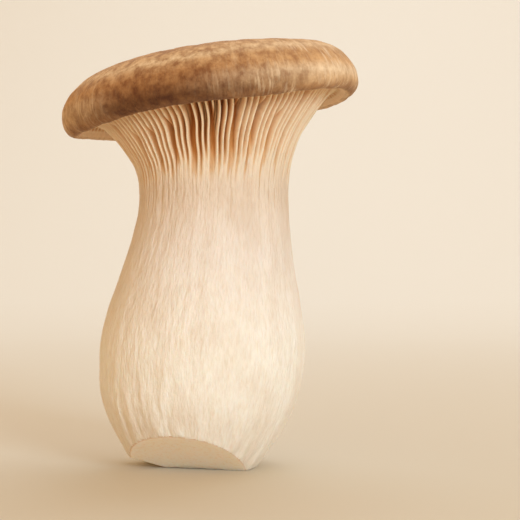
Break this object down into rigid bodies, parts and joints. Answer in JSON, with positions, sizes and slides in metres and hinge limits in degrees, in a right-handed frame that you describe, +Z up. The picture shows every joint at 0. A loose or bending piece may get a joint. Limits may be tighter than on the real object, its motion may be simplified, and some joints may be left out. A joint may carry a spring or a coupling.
{
  "type": "king oyster mushroom",
  "caption": "Whole fresh mushroom standing on its cut base: domed tilted cap with a turned-down margin, gills running down a narrow neck, swollen pale stem",
  "frame": {"origin": "On the surface that the mushroom stands on, under the middle of its overall box", "axes": "+Z up along the stem, -Y the front with the slanting cut of the base, +X to the right where the cap stands higher"},
  "size_m": [0.0886, 0.0876, 0.1264],
  "materials": {
    "mushroom_flesh": "matt, fibrous ivory flesh with a velvety brown skin on the cap"
  },
  "bodies": {
    "root": {"mushroom": "mushroom_flesh"}
  },
  "joints": []
}
